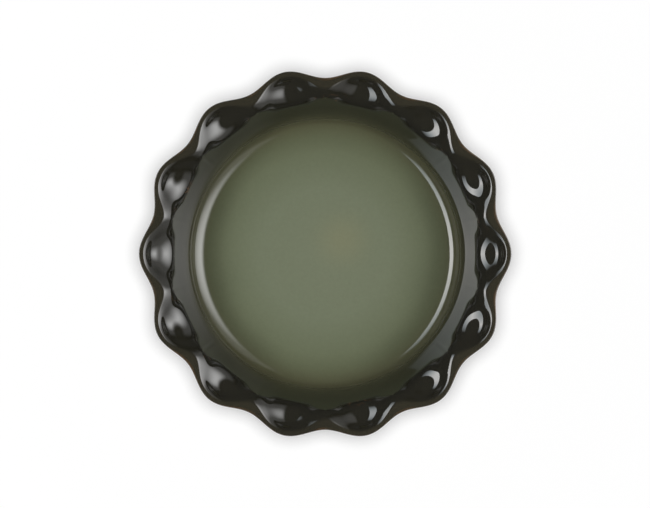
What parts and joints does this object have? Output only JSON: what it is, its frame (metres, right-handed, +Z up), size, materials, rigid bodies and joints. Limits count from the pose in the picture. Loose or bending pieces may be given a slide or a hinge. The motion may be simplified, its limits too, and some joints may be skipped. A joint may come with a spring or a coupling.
{
  "type": "pie dish",
  "caption": "Round stoneware pie dish with a flat floor, steep wall and wavy fluted rim, glazed sage green inside darkening to near black, standing on a bare foot ring.",
  "frame": {"origin": "on the table under the dish's centre, in the plane of the foot ring's lower face", "axes": "+Z up along the dish's axis, +X through the middle of a flute"},
  "size_m": [0.28, 0.2738, 0.0538],
  "materials": {
    "clay": "bare fired stoneware, buff, dry and fine-grained",
    "floor_glaze": "high-gloss sage green glaze, slightly darker towards its edge",
    "wall_glaze": "high-gloss glaze fading from sage green at the floor to near black at the lip",
    "rim_glaze": "high-gloss near-black green glaze, breaking faintly brown on its outer edge",
    "outside_glaze": "high-gloss near-black green glaze",
    "base_glaze": "gloss near-black green glaze"
  },
  "bodies": {
    "root": {"stoneware_body": "clay", "floor_glaze": "floor_glaze", "wall_glaze": "wall_glaze", "rim_glaze": "rim_glaze", "outside_glaze": "outside_glaze", "base_glaze": "base_glaze"}
  },
  "joints": []
}
